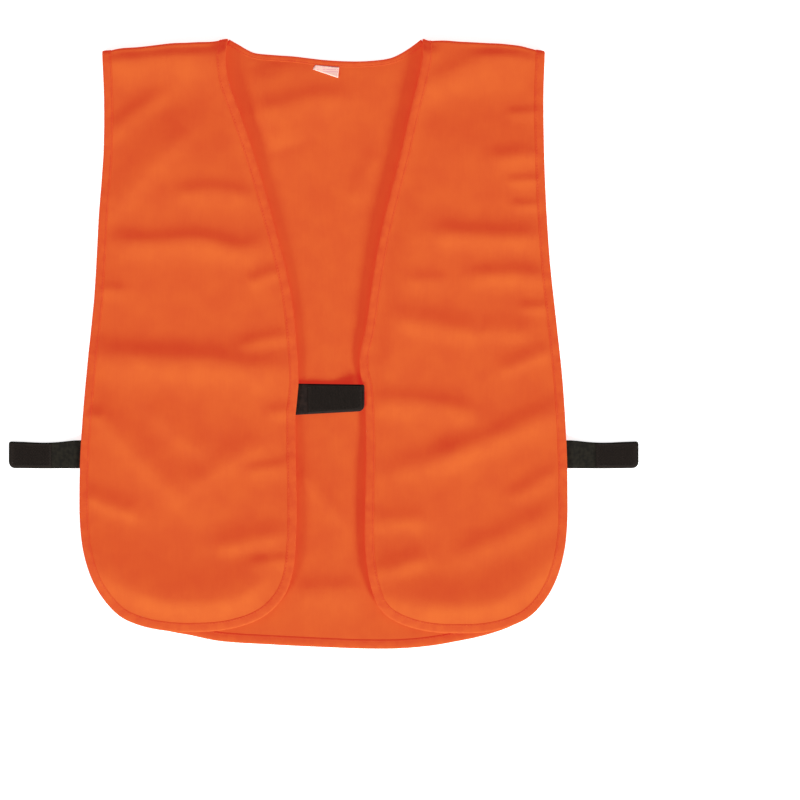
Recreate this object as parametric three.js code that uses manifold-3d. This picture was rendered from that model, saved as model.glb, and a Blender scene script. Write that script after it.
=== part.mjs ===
// A blaze orange vest with an open front and open sides, laid flat on its back.
// Millimetres, +Z up, +Y toward the collar and +X toward the wearer's left.
// The origin is the centre of the footprint, on the surface that the vest lies on.
// "Right" and "left" are the wearer's.

import * as THREE from "three";
import { mergeVertices } from "three/addons/utils/BufferGeometryUtils.js";
import Module from "manifold-3d";

const wasm = await Module();
wasm.setup();

// Cloth, tape and webbing
const CLOTH = 0.8;
const TAPE = 0.5;
const GAP = 0.3;
const THREAD_GAP = 0.06;
const THREAD_WIDTH = 0.5;
const THREAD_HEIGHT = 0.18;
const BINDING_WIDTH = 9;
const NECK_BINDING_WIDTH = 6;
const BINDING_HEIGHT = CLOTH + 2 * (GAP + TAPE);
const STITCH_INSET = 1.3;
const WEBBING = 1.4;
const HOOK_TAPE = 1;
const LOOP_TAPE = 0.8;
const WEBBING_WIDTH = 26.5;
const CORNER = 5;
const CORNER_SEGMENTS = 4;
const HOOK_MARGIN = 1;
const HINGE_CLEARANCE = 1.8;

// Levels of the middle of the cloth, and how the fronts rise away from their bound edges
const BACK_LEVEL = BINDING_HEIGHT / 2;
const FRONT_LEVEL = 6;
const AXIS_LEVEL = (BACK_LEVEL + FRONT_LEVEL) / 2;
const FLAT_MARGIN = 30;
const RISE_WIDTH = 45;
const CROWN = 8;
const GRID_STEP = 20;
const GRID_MARGIN = 3.7;
const CUT_PAST = 2;

// Edges run counterclockwise, so the cloth is always on the left of the line.
const BACK_SIDES_AND_HEM = [
  [-219, 292], [-217, 245], [-217, 190], [-222, 130], [-226, 50], [-233, -20], [-239, -90],
  [-241, -150], [-239, -200], [-228, -240], [-205, -269], [-172, -284], [-134, -292],
  [-104, -298], [-60, -301], [0, -304], [60, -305.7], [100, -303.5], [134, -298], [172, -289],
  [205, -273], [229, -242], [239, -200], [241, -150], [239.5, -90], [235, -25], [224, 76],
  [219, 153], [217, 200], [217, 248], [219, 292],
];
const NECKLINE = [
  [97.5, 305], [85.5, 296], [69, 287], [52, 284], [30, 283], [0, 284.5], [-30, 288],
  [-58, 290], [-71, 292], [-84, 299], [-94.5, 305],
];
const RIGHT_FRONT_EDGE = [
  [-221.5, 292], [-219.5, 245], [-220, 190], [-224.5, 130], [-229, 50], [-236, -20],
  [-242, -90], [-244, -150], [-241.5, -200], [-229, -241], [-203, -273], [-165, -286],
  [-120, -288], [-88, -284], [-57, -271], [-36, -246], [-28, -208], [-27, -140], [-28, -75],
  [-25, -39], [-27, 0], [-33, 52], [-46, 107], [-68, 185], [-84, 232], [-94, 260],
  [-97.5, 284], [-95.5, 305],
];
const LEFT_FRONT_EDGE = [
  [99, 305], [99, 284], [88, 237], [76, 185], [60, 122], [51, 76], [42, 15], [36.5, -10],
  [36.5, -28], [40, -45], [42.5, -100], [41.5, -170], [42.5, -215], [52, -257], [66, -274],
  [98, -286.5], [135, -289.5], [170, -287], [206, -273], [230, -242], [242, -200],
  [244, -150], [242.5, -90], [238, -25], [227, 76], [222, 153], [220.5, 200], [220, 248],
  [221.5, 292],
];
const POINTS_PER_SPAN = 2;

// Shoulder seams, side straps, front tab and label
const SEAM_ROLL_RADIUS = 1.65;
const SEAM_ROLL_SIDES = 10;
const SEAM_END_MARGIN = 14;
const STRAP_Y = -111;
const STRAP_HINGE_X = 250;
const STRAP_HINGE_Z = BINDING_HEIGHT + GAP + WEBBING / 2;
const ANCHOR_END_X = 205;
const FLOOR_CLEARANCE = 0.3;
const STRAP_FLOOR_X = 262;
const STRAP_TIP_X = 270;
const STRAP_END_X = 315.5;
const HOOK_START_X = 273;
const SIDE_PATCH_OUTER_X = 231;
const SIDE_PATCH_INNER_X = 181;
const FRONT_PATCH_OUTER_X = 53;
const FRONT_PATCH_INNER_X = 98;
const TAB_Y = -55.5;
const TAB_WIDTH = 28;
const TAB_ANCHOR_END_X = -58;
const TAB_ANCHOR_BEND_START_X = -41;
const TAB_ANCHOR_BEND_END_X = -36;
const TAB_HINGE_X = -21;
const TAB_HINGE_Z = FRONT_LEVEL - BINDING_HEIGHT / 2 - GAP - WEBBING / 2;
const TAB_SLOPE_END = { x: 30, z: 8.6 };
const TAB_END_X = 38;
const TAB_HOOK_START_X = -16;
const TAB_HOOK_END_X = 27;
const LABEL_THICKNESS = 0.5;
const LABEL = [[-10.5, 275.8], [14.5, 265.7], [15.5, 275.4], [-7.5, 277.6]];

// Materials
const BLAZE_ORANGE = 0xe4643a;
const BINDING_ORANGE = 0xe65c2f;
const THREAD_ORANGE = 0xd95a2c;
const BLACK_WEBBING = 0x26252a;
const BLACK_HOOK = 0x1c1b1e;
const BLACK_LOOP = 0x222127;
const LABEL_WHITE = 0xf0ece8;

function fabric(color, roughness = 0.9) {
  return new THREE.MeshStandardMaterial({ color, roughness, metalness: 0 });
}

// Solids and booleans

function solid(geometry) {
  const bare = geometry.clone();
  bare.deleteAttribute("normal");
  bare.deleteAttribute("uv");
  const merged = mergeVertices(bare, 1e-4);
  return new wasm.Manifold(new wasm.Mesh({
    numProp: 3,
    vertProperties: new Float32Array(merged.attributes.position.array),
    triVerts: new Uint32Array(merged.index.array),
  }));
}

function geometryOf(body) {
  const mesh = body.getMesh();
  const geometry = new THREE.BufferGeometry();
  geometry.setAttribute("position", new THREE.BufferAttribute(mesh.vertProperties, 3));
  geometry.setIndex(new THREE.BufferAttribute(mesh.triVerts, 1));
  geometry.computeVertexNormals();
  return geometry;
}

function prism(outline, bottom, top) {
  const shape = new THREE.Shape(outline);
  const geometry = new THREE.ExtrudeGeometry(shape, { depth: top - bottom, bevelEnabled: false });
  geometry.translate(0, 0, bottom);
  return geometry;
}

// Lines and outlines

function lineThrough(points) {
  const corners = points.map(([x, y]) => new THREE.Vector3(x, y, 0));
  const curve = new THREE.CatmullRomCurve3(corners, false, "centripetal");
  return curve.getPoints((points.length - 1) * POINTS_PER_SPAN).map((p) => new THREE.Vector2(p.x, p.y));
}

function moveLeft(line, distance) {
  return line.map((point, i) => {
    const before = line[Math.max(i - 1, 0)];
    const after = line[Math.min(i + 1, line.length - 1)];
    const along = after.clone().sub(before).normalize();
    return new THREE.Vector2(point.x - along.y * distance, point.y + along.x * distance);
  });
}

function band(line, near, far) {
  return [...moveLeft(line, near), ...moveLeft(line, far).reverse()];
}

function distanceToOutline(outline, x, y) {
  let nearest = Infinity;
  outline.forEach((start, i) => {
    const end = outline[(i + 1) % outline.length];
    const along = end.clone().sub(start);
    const t = ((x - start.x) * along.x + (y - start.y) * along.y) / along.lengthSq();
    const s = Math.min(Math.max(t, 0), 1);
    nearest = Math.min(nearest, Math.hypot(x - start.x - s * along.x, y - start.y - s * along.y));
  });
  return nearest;
}

function roundedEnd(nearX, farX, centreY, width, radius) {
  // A strap seen from above: square at nearX, with round corners at farX.
  const side = Math.sign(farX - nearX);
  const shape = new THREE.Shape();
  const low = centreY - width / 2;
  const high = centreY + width / 2;
  shape.moveTo(nearX, low);
  shape.lineTo(farX - side * radius, low);
  shape.quadraticCurveTo(farX, low, farX, low + radius);
  shape.lineTo(farX, high - radius);
  shape.quadraticCurveTo(farX, high, farX - side * radius, high);
  shape.lineTo(nearX, high);
  return shape.getPoints(CORNER_SEGMENTS);
}

// Pieces of cloth, tape and webbing

function bindingTape(line, width, level) {
  const half = BINDING_HEIGHT / 2;
  const slot = CLOTH / 2 + GAP;
  const whole = solid(prism(band(line, 0, width), level - half, level + half));
  const inside = solid(prism(band(line, TAPE, width + CUT_PAST), level - slot, level + slot));
  return geometryOf(whole.subtract(inside));
}

function topstitch(line, width, level) {
  const inset = width - STITCH_INSET;
  const bottom = level + BINDING_HEIGHT / 2 + THREAD_GAP;
  const row = band(line, inset - THREAD_WIDTH / 2, inset + THREAD_WIDTH / 2);
  return prism(row, bottom, bottom + THREAD_HEIGHT);
}

function risingSheet(outline, heightAt, below, above) {
  // A thin sheet between heightAt - below and heightAt + above, cut to the outline.
  const box = new THREE.Box2().setFromPoints(outline).expandByScalar(GRID_MARGIN);
  const size = box.getSize(new THREE.Vector2());
  const across = Math.ceil(size.x / GRID_STEP);
  const along = Math.ceil(size.y / GRID_STEP);
  const grid = new THREE.BoxGeometry(size.x, size.y, 2, across, along, 1);
  const centre = box.getCenter(new THREE.Vector2());
  grid.translate(centre.x, centre.y, 0);
  const position = grid.attributes.position;
  for (let i = 0; i < position.count; i += 1) {
    const height = heightAt(position.getX(i), position.getY(i));
    position.setZ(i, position.getZ(i) > 0 ? height + above : height - below);
  }
  const cutter = solid(prism(outline, 0, FRONT_LEVEL + CROWN + CUT_PAST));
  return geometryOf(solid(grid).intersect(cutter));
}

function bentStrip(centreLine, thickness, centreY, width) {
  // Webbing whose side view is a line of [x, z] points, extruded along Y.
  const line = centreLine.map(([x, z]) => new THREE.Vector2(x, z));
  const outline = [...moveLeft(line, -thickness / 2), ...moveLeft(line, thickness / 2).reverse()];
  const geometry = new THREE.ExtrudeGeometry(new THREE.Shape(outline), { depth: width, bevelEnabled: false });
  geometry.rotateX(Math.PI / 2);
  geometry.translate(0, centreY + width / 2, 0);
  return geometry;
}

const vest = new THREE.Group();

function add(name, geometry, material) {
  const mesh = new THREE.Mesh(geometry, material);
  mesh.name = name;
  vest.add(mesh);
}

// The back panel, with one binding round its sides and hem and one along its neckline

function addBack() {
  const rim = lineThrough(BACK_SIDES_AND_HEM);
  const neck = lineThrough(NECKLINE);
  const clothEdge = TAPE + GAP;
  const outline = [...moveLeft(rim, clothEdge), ...moveLeft(neck, clothEdge)];
  add("back_panel", prism(outline, BACK_LEVEL - CLOTH / 2, BACK_LEVEL + CLOTH / 2), fabric(BLAZE_ORANGE));
  add("back_binding", bindingTape(rim, BINDING_WIDTH, BACK_LEVEL), fabric(BINDING_ORANGE, 0.8));
  add("back_topstitch", topstitch(rim, BINDING_WIDTH, BACK_LEVEL), fabric(THREAD_ORANGE, 0.7));
  add("neck_binding", bindingTape(neck, NECK_BINDING_WIDTH, BACK_LEVEL), fabric(BINDING_ORANGE, 0.8));
  add("neck_topstitch", topstitch(neck, NECK_BINDING_WIDTH, BACK_LEVEL), fabric(THREAD_ORANGE, 0.7));
}

// A front panel: flat at its binding, rising away from it, with its patches on the inner face

function frontHeight(outline) {
  return (x, y) => {
    const inward = (distanceToOutline(outline, x, y) - FLAT_MARGIN) / RISE_WIDTH;
    const t = Math.min(Math.max(inward, 0), 1);
    return FRONT_LEVEL + CROWN * t * t * (3 - 2 * t);
  };
}

function addFront(side, edgePoints) {
  const edge = lineThrough(edgePoints);
  const heightAt = frontHeight(edge);
  const outline = moveLeft(edge, TAPE + GAP);
  add(`${side}_front_panel`, risingSheet(outline, heightAt, CLOTH / 2, CLOTH / 2), fabric(BLAZE_ORANGE));
  add(`${side}_front_binding`, bindingTape(edge, BINDING_WIDTH, FRONT_LEVEL), fabric(BINDING_ORANGE, 0.8));
  add(`${side}_front_topstitch`, topstitch(edge, BINDING_WIDTH, FRONT_LEVEL), fabric(THREAD_ORANGE, 0.7));
}

function addLoopPatch(name, nearX, farX, centreY) {
  const outline = roundedEnd(nearX, farX, centreY, WEBBING_WIDTH, CORNER);
  const top = FRONT_LEVEL - CLOTH / 2 - GAP;
  add(name, prism(outline, top - LOOP_TAPE, top), fabric(BLACK_LOOP, 1));
}

// The rolled seam on the shoulder line, which the front turns about

function addShoulderSeam(side, inner, outer) {
  const start = new THREE.Vector3(inner[0], inner[1], AXIS_LEVEL);
  const end = new THREE.Vector3(outer[0], outer[1], AXIS_LEVEL);
  const along = end.clone().sub(start);
  const length = along.length() - 2 * SEAM_END_MARGIN;
  const roll = new THREE.CylinderGeometry(SEAM_ROLL_RADIUS, SEAM_ROLL_RADIUS, length, SEAM_ROLL_SIDES);
  const upright = new THREE.Vector3(0, 1, 0);
  roll.applyQuaternion(new THREE.Quaternion().setFromUnitVectors(upright, along.normalize()));
  const middle = start.add(end).multiplyScalar(0.5);
  roll.translate(middle.x, middle.y, middle.z);
  add(`${side}_shoulder_seam`, roll, fabric(THREAD_ORANGE));
}

// A side strap: an anchor sewn to the back, elastic, and a webbing tip with hook tape

function addSideStrap(side, sign) {
  const anchor = [[ANCHOR_END_X, STRAP_HINGE_Z], [STRAP_HINGE_X - HINGE_CLEARANCE, STRAP_HINGE_Z]];
  const floorZ = FLOOR_CLEARANCE + WEBBING / 2;
  const elastic = [
    [STRAP_HINGE_X, STRAP_HINGE_Z], [STRAP_FLOOR_X, floorZ], [STRAP_TIP_X - GAP, floorZ],
  ];
  const strip = (line) => {
    const ordered = sign > 0 ? line : [...line].reverse();
    const mirrored = ordered.map(([x, z]) => [sign * x, z]);
    return bentStrip(mirrored, WEBBING, STRAP_Y, WEBBING_WIDTH);
  };
  add(`${side}_strap_anchor`, strip(anchor), fabric(BLACK_WEBBING));
  add(`${side}_strap_elastic`, strip(elastic), fabric(BLACK_WEBBING));

  const top = FLOOR_CLEARANCE + WEBBING;
  const tip = roundedEnd(sign * STRAP_TIP_X, sign * STRAP_END_X, STRAP_Y, WEBBING_WIDTH, CORNER);
  const hookEnd = STRAP_END_X - HOOK_MARGIN;
  const hookWidth = WEBBING_WIDTH - 2 * HOOK_MARGIN;
  const hook = roundedEnd(sign * HOOK_START_X, sign * hookEnd, STRAP_Y, hookWidth, CORNER);
  const hookBottom = top + THREAD_GAP;
  add(`${side}_strap_tip`, prism(tip, FLOOR_CLEARANCE, top), fabric(BLACK_WEBBING));
  add(`${side}_strap_hook`, prism(hook, hookBottom, hookBottom + HOOK_TAPE), fabric(BLACK_HOOK, 1));
}

// The front tab: anchored under the right front's edge, reaching to the left front

function addFrontTab() {
  const underPanel = FRONT_LEVEL - CLOTH / 2 - GAP - WEBBING / 2;
  const anchor = [
    [TAB_ANCHOR_END_X, underPanel], [TAB_ANCHOR_BEND_START_X, underPanel],
    [TAB_ANCHOR_BEND_END_X, TAB_HINGE_Z], [TAB_HINGE_X - HINGE_CLEARANCE, TAB_HINGE_Z],
  ];
  add("front_tab_anchor", bentStrip(anchor, WEBBING, TAB_Y, TAB_WIDTH), fabric(BLACK_WEBBING));

  const line = [
    [TAB_HINGE_X, TAB_HINGE_Z], [TAB_SLOPE_END.x, TAB_SLOPE_END.z],
    [TAB_END_X + CUT_PAST, TAB_SLOPE_END.z],
  ];
  const seenFromAbove = roundedEnd(TAB_ANCHOR_END_X, TAB_END_X, TAB_Y, TAB_WIDTH, CORNER);
  const cutter = solid(prism(seenFromAbove, 0, TAB_SLOPE_END.z + CUT_PAST));
  const tab = solid(bentStrip(line, WEBBING, TAB_Y, TAB_WIDTH + CUT_PAST)).intersect(cutter);
  add("front_tab_webbing", geometryOf(tab), fabric(BLACK_WEBBING));

  const rise = (TAB_SLOPE_END.z - TAB_HINGE_Z) / (TAB_SLOPE_END.x - TAB_HINGE_X);
  const offset = WEBBING / 2 + THREAD_GAP + HOOK_TAPE / 2;
  const lift = TAB_HINGE_Z + offset * Math.hypot(1, rise);
  const hook = [TAB_HOOK_START_X, TAB_HOOK_END_X].map((x) => [x, lift + rise * (x - TAB_HINGE_X)]);
  const hookWidth = TAB_WIDTH - 2 * HOOK_MARGIN;
  add("front_tab_hook", bentStrip(hook, HOOK_TAPE, TAB_Y, hookWidth), fabric(BLACK_HOOK, 1));
}

function addLabel() {
  const bottom = BACK_LEVEL + CLOTH / 2 + GAP;
  const outline = LABEL.map(([x, y]) => new THREE.Vector2(x, y));
  add("care_label", prism(outline, bottom, bottom + LABEL_THICKNESS), fabric(LABEL_WHITE, 0.6));
}

addBack();
addFront("right", RIGHT_FRONT_EDGE);
addFront("left", LEFT_FRONT_EDGE);
addLoopPatch("right_side_loop_patch", -SIDE_PATCH_OUTER_X, -SIDE_PATCH_INNER_X, STRAP_Y);
addLoopPatch("left_side_loop_patch", SIDE_PATCH_OUTER_X, SIDE_PATCH_INNER_X, STRAP_Y);
addLoopPatch("front_loop_patch", FRONT_PATCH_OUTER_X, FRONT_PATCH_INNER_X, TAB_Y);
addShoulderSeam("right", RIGHT_FRONT_EDGE.at(-1), RIGHT_FRONT_EDGE[0]);
addShoulderSeam("left", LEFT_FRONT_EDGE[0], LEFT_FRONT_EDGE.at(-1));
addSideStrap("right", -1);
addSideStrap("left", 1);
addFrontTab();
addLabel();

export default vest;
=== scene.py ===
import math

import bpy
import numpy as np
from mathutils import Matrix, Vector, geometry, noise


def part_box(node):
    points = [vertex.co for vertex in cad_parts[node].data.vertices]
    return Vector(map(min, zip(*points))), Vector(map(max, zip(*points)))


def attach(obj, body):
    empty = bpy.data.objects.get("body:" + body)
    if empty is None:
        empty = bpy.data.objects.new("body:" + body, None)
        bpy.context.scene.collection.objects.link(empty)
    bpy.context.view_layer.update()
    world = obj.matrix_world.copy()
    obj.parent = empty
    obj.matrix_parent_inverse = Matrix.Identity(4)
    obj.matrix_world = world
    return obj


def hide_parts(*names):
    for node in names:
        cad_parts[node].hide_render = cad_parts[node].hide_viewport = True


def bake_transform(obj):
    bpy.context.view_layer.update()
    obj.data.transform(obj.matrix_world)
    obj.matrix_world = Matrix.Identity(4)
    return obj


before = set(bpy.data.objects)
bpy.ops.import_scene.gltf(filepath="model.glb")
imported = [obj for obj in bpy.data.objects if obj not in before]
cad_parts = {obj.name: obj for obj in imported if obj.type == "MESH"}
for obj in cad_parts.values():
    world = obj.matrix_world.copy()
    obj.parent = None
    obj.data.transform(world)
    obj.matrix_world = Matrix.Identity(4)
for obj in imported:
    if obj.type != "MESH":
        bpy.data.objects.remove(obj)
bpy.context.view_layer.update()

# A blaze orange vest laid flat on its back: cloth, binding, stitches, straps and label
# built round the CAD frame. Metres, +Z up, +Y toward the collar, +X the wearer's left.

MM = 0.001

# Sizes shared by many pieces
CLOTH = 0.8 * MM
TAPE = 0.5 * MM
BINDING_WIDTH = 9.0 * MM
NECK_BINDING_WIDTH = 6.0 * MM
MESH_STEP = 3.0 * MM
EDGE_STEP = 2.5 * MM
SIDES = {"right": -1, "left": 1}


# --- camera, floor, light

PICTURE_WIDTH = 0.8
LENS_MM = 100.0
SENSOR_MM = 36.0
# the vest stands a little to the left of the picture's middle
LOOK_AT = Vector((0.0765, -0.0563, 0.006))


def add_camera():
    camera = bpy.data.objects.new("camera", bpy.data.cameras.new("camera"))
    camera.data.lens = LENS_MM
    camera.data.sensor_width = SENSOR_MM
    distance = PICTURE_WIDTH * LENS_MM / SENSOR_MM
    camera.location = LOOK_AT + Vector((0, 0, distance))
    bpy.context.collection.objects.link(camera)
    bpy.context.scene.camera = camera


def add_sun(name, heading, elevation, strength, softness):
    """Soft light from far away; heading and elevation in degrees, softness in radians."""
    light = bpy.data.lights.new(name, "SUN")
    light.energy = strength
    light.angle = softness
    lamp = bpy.data.objects.new(name, light)
    flat = math.cos(math.radians(elevation))
    toward = Vector((
        flat * math.cos(math.radians(heading)),
        flat * math.sin(math.radians(heading)),
        math.sin(math.radians(elevation)),
    ))
    lamp.rotation_euler = (-toward).to_track_quat("-Z", "Y").to_euler()
    bpy.context.collection.objects.link(lamp)


FLOOR_HALF = 40.0
FLOOR_DROP = 0.2 * MM
# heading and elevation in degrees, strength, and softness in radians
LIGHTS = {"key_light": (-52, 22, 4.8, 0.26), "second_light": (-130, 22, 3.1, 0.30)}
SKY_STRENGTH = 0.36


def add_studio():
    half = FLOOR_HALF
    corners = [(-half, -half, 0), (half, -half, 0), (half, half, 0), (-half, half, 0)]
    mesh = bpy.data.meshes.new("floor")
    mesh.from_pydata([Vector(c) for c in corners], [], [(0, 1, 2, 3)])
    floor = bpy.data.objects.new("floor", mesh)
    floor.location.z = -FLOOR_DROP
    bpy.context.collection.objects.link(floor)
    material = bpy.data.materials.new("floor_white")
    material.use_nodes = True
    shader = material.node_tree.nodes["Principled BSDF"]
    shader.inputs["Base Color"].default_value = (0.92, 0.92, 0.92, 1)
    shader.inputs["Roughness"].default_value = 0.9
    shader.inputs["Specular IOR Level"].default_value = 0.1
    shader.inputs["Emission Color"].default_value = (1, 1, 1, 1)
    shader.inputs["Emission Strength"].default_value = 0.7
    mesh.materials.append(material)

    for name, settings in LIGHTS.items():
        add_sun(name, *settings)
    world = bpy.data.worlds.new("studio")
    world.use_nodes = True
    sky = world.node_tree.nodes["Background"]
    sky.inputs["Color"].default_value = (1, 1, 1, 1)
    sky.inputs["Strength"].default_value = SKY_STRENGTH
    bpy.context.scene.world = world
    bpy.context.scene.view_settings.view_transform = "Standard"


# --- outlines from the frame

def upward_rim(node):
    """The boundary of a CAD node's upward top faces, as an ordered ring of (x, y)."""
    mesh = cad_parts[node].data
    place = {}
    uses = {}
    top = max(v.co.z for v in mesh.vertices)
    flat_node = not node.endswith("front_panel")
    for face in mesh.polygons:
        if face.normal.z < 0.5 or (flat_node and face.center.z < top - 0.1 * MM):
            continue
        keys = []
        for index in face.vertices:
            co = mesh.vertices[index].co
            key = (round(co.x, 6), round(co.y, 6))
            place[key] = (co.x, co.y)
            keys.append(key)
        for a, b in zip(keys, keys[1:] + keys[:1]):
            uses[(a, b)] = True
    following = {a: b for (a, b) in uses if (b, a) not in uses and a != b}
    start = next(iter(following))
    ring = [start]
    while following[ring[-1]] != start:
        ring.append(following[ring[-1]])
    return np.array([place[k] for k in ring])


def band_edge(node, centre):
    """The outer one of the two long lines of a tape's top face, as an open line."""
    ring = upward_rim(node)
    ahead = np.roll(ring, -1, 0) - ring
    behind = ring - np.roll(ring, 1, 0)
    cross = behind[:, 0] * ahead[:, 1] - behind[:, 1] * ahead[:, 0]
    dot = (behind * ahead).sum(1)
    turn = np.abs(np.arctan2(cross, dot))
    corners = sorted(np.argsort(turn)[-4:])
    chains = []
    for a, b in zip(corners, corners[1:] + corners[:1]):
        span = range(a, b + 1) if b > a else [*range(a, len(ring)), *range(0, b + 1)]
        chains.append(ring[list(span)])
    longest = sorted(chains, key=len)[-2:]
    return max(longest, key=lambda line: np.linalg.norm(line - centre, axis=1).mean())


def smooth_line(points, step):
    """A smooth open line through the points, in even steps."""
    padded = np.vstack([2 * points[0] - points[1], points, 2 * points[-1] - points[-2]])
    fine = []
    for i in range(1, len(padded) - 2):
        p0, p1, p2, p3 = padded[i - 1:i + 3]
        for t in np.linspace(0, 1, 12, endpoint=False):
            bend = (2 * p0 - 5 * p1 + 4 * p2 - p3) * t * t
            twist = (3 * p1 - p0 - 3 * p2 + p3) * t ** 3
            fine.append(0.5 * (2 * p1 + (p2 - p0) * t + bend + twist))
    fine.append(points[-1])
    return evenly(np.array(fine), step)


def lengths_along(line):
    """How far along the line each of its points is."""
    return np.concatenate([[0], np.cumsum(np.linalg.norm(np.diff(line, axis=0), axis=1))])


def evenly(line, step):
    """The same line in even steps of about the given length."""
    lengths = lengths_along(line)
    count = max(2, round(lengths[-1] / step) + 1)
    at = np.linspace(0, lengths[-1], count)
    return np.stack([np.interp(at, lengths, line[:, k]) for k in range(line.shape[1])], 1)


def inward_normals(line):
    along = np.gradient(line, axis=0)
    along /= np.linalg.norm(along, axis=1)[:, None]
    return np.stack([-along[:, 1], along[:, 0]], 1)


def area_inside(ring):
    x, y = ring[:, 0], ring[:, 1]
    return abs(np.dot(x, np.roll(y, -1)) - np.dot(y, np.roll(x, -1))) / 2


def distance_to_line(points, line):
    """Distance to the line, how far along it the nearest place is, and how far to its left."""
    a, b = line[:-1], line[1:]
    along = b - a
    squared = (along ** 2).sum(1)
    starts = lengths_along(line)
    best = np.full(len(points), 1e9)
    where = np.zeros(len(points))
    turned = np.zeros(len(points))
    for i in range(len(a)):
        offset = points - a[i]
        t = np.clip(offset @ along[i] / squared[i], 0, 1)
        gap = np.hypot(offset[:, 0] - t * along[i, 0], offset[:, 1] - t * along[i, 1])
        closer = gap < best
        best[closer] = gap[closer]
        length = math.sqrt(squared[i])
        where[closer] = starts[i] + t[closer] * length
        turned[closer] = (offset[closer] @ np.array([-along[i, 1], along[i, 0]])) / length
    return best, where, turned


def smoothstep(t):
    t = np.clip(t, 0, 1)
    return t * t * (3 - 2 * t)


# --- mesh helpers

def add_mesh(name, points, faces, material, uv=None):
    """A smooth-shaded mesh; uv gives each point's place on the flat cloth, in metres."""
    mesh = bpy.data.meshes.new(name)
    mesh.from_pydata([tuple(p) for p in points], [], [tuple(map(int, f)) for f in faces])
    mesh.shade_smooth()
    mesh.materials.append(material)
    if uv is not None:
        layer = mesh.uv_layers.new(name="flat")
        loops = np.empty(len(mesh.loops), np.int32)
        mesh.loops.foreach_get("vertex_index", loops)
        layer.data.foreach_set("uv", np.asarray(uv, np.float32)[loops].ravel())
    piece = bpy.data.objects.new(name, mesh)
    bpy.context.collection.objects.link(piece)
    return piece


def loft_faces(rings, sides, closed_ring=True, capped=True):
    """Quads between rings of points, ring by ring, with flat ends."""
    faces = []
    last = sides if closed_ring else sides - 1
    for i in range(rings - 1):
        for j in range(last):
            k = (j + 1) % sides
            faces.append((i * sides + j, i * sides + k, (i + 1) * sides + k, (i + 1) * sides + j))
    if capped:
        faces.append(tuple(range(sides))[::-1])
        faces.append(tuple((rings - 1) * sides + j for j in range(sides)))
    return faces


def unit(vectors):
    return vectors / np.maximum(np.linalg.norm(vectors, axis=-1, keepdims=True), 1e-12)


def noise_at(points, scale, seed):
    """Smooth noise from -1 to 1 over points of the cloth, with features about scale metres."""
    return np.array([noise.noise(Vector((x / scale, y / scale, seed))) for x, y in points])


# --- stitches

STITCH_PITCH = 3.1 * MM
STITCH_LENGTH = 2.5 * MM
THREAD_RADIUS = 0.26 * MM
STITCH_RINGS = 5
STITCH_SIDES = 6


def stitch_mesh(lines):
    """Points and faces of a run of stitches along each (points, normals) line."""
    all_points, all_faces = [], []
    count = 0
    for line, normals in lines:
        lengths = lengths_along(line)
        starts = np.arange(0.3 * STITCH_PITCH, lengths[-1] - STITCH_LENGTH, STITCH_PITCH)
        share = np.linspace(0, 1, STITCH_RINGS)
        at = starts[:, None] + share * STITCH_LENGTH
        centre = np.stack([np.interp(at, lengths, line[:, k]) for k in range(3)], -1)
        up = unit(np.stack([np.interp(at, lengths, normals[:, k]) for k in range(3)], -1))
        along = unit(centre[:, -1:] - centre[:, :1])
        across = unit(np.cross(along, up))
        rise = THREAD_RADIUS * (2.0 * np.sin(math.pi * share) - 1.2)
        centre = centre + up * rise[None, :, None]
        thick = THREAD_RADIUS * (0.65 + 0.35 * np.sin(math.pi * share))
        angle = np.linspace(0, 2 * math.pi, STITCH_SIDES, endpoint=False)
        ring = (np.cos(angle)[None, None, :, None] * across[:, :, None]
                + np.sin(angle)[None, None, :, None] * up[:, :, None])
        points = centre[:, :, None] + ring * thick[None, :, None, None]
        faces = loft_faces(STITCH_RINGS, STITCH_SIDES)
        per = STITCH_RINGS * STITCH_SIDES
        for i in range(len(starts)):
            all_faces.extend(tuple(count + i * per + v for v in f) for f in faces)
        all_points.append(points.reshape(-1, 3))
        count += len(starts) * per
    return np.concatenate(all_points), all_faces


def add_stitches(name, lines, material):
    points, faces = stitch_mesh(lines)
    return add_mesh(name, points, faces, material, points[:, :2])


# --- the two kinds of panel

# Each fold: its ridge from left to right or top to bottom, its height, and its reach to the
# left and to the right of that direction (mm)
RIGHT_FRONT_FOLDS = [
    ([(-222, 287), (-164, 288), (-106, 290)], 2.8, 9, 18),
    ([(-220, 251), (-164, 250), (-98, 254)], -2.0, 22, 26),
    ([(-220, 206), (-184, 234), (-152, 256)], 2.3, 10, 10),
    ([(-216, 128), (-178, 170), (-136, 214)], 3.0, 22, 11),
    ([(-152, 148), (-108, 152), (-68, 147)], 2.6, 10, 12),
    ([(-218, 103), (-174, 100), (-124, 103), (-84, 94), (-54, 102)], 4.1, 11, 14),
    ([(-226, 55), (-198, 53)], 1.7, 7, 8),
    ([(-76, 60), (-44, 73)], 2.2, 8, 8),
    ([(-86, -2), (-32, 9)], 2.4, 8, 8),
    ([(-236, -10), (-174, -16), (-114, -18), (-74, -24), (-34, -25)], 6.2, 16, 20),
    ([(-238, -71), (-218, -74)], 1.5, 8, 8),
    ([(-56, -69), (-32, -67)], 1.7, 7, 8),
    ([(-232, -64), (-184, -111), (-136, -160)], 4.1, 22, 14),
    ([(-174, -60), (-144, -92), (-110, -111)], 2.5, 16, 11),
    ([(-138, -146), (-98, -120), (-58, -97)], 2.8, 16, 11),
    ([(-78, -127), (-36, -122)], 2.1, 7, 9),
    ([(-240, -151), (-184, -172)], 3.0, 12, 8),
    ([(-110, -204), (-74, -197), (-36, -189)], 3.2, 14, 9),
    ([(-74, -219), (-34, -216)], 1.8, 6, 9),
    ([(-240, -192), (-216, -230), (-174, -250), (-124, -257), (-82, -248), (-48, -222)], 6.0, 32, 16),
]
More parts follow.
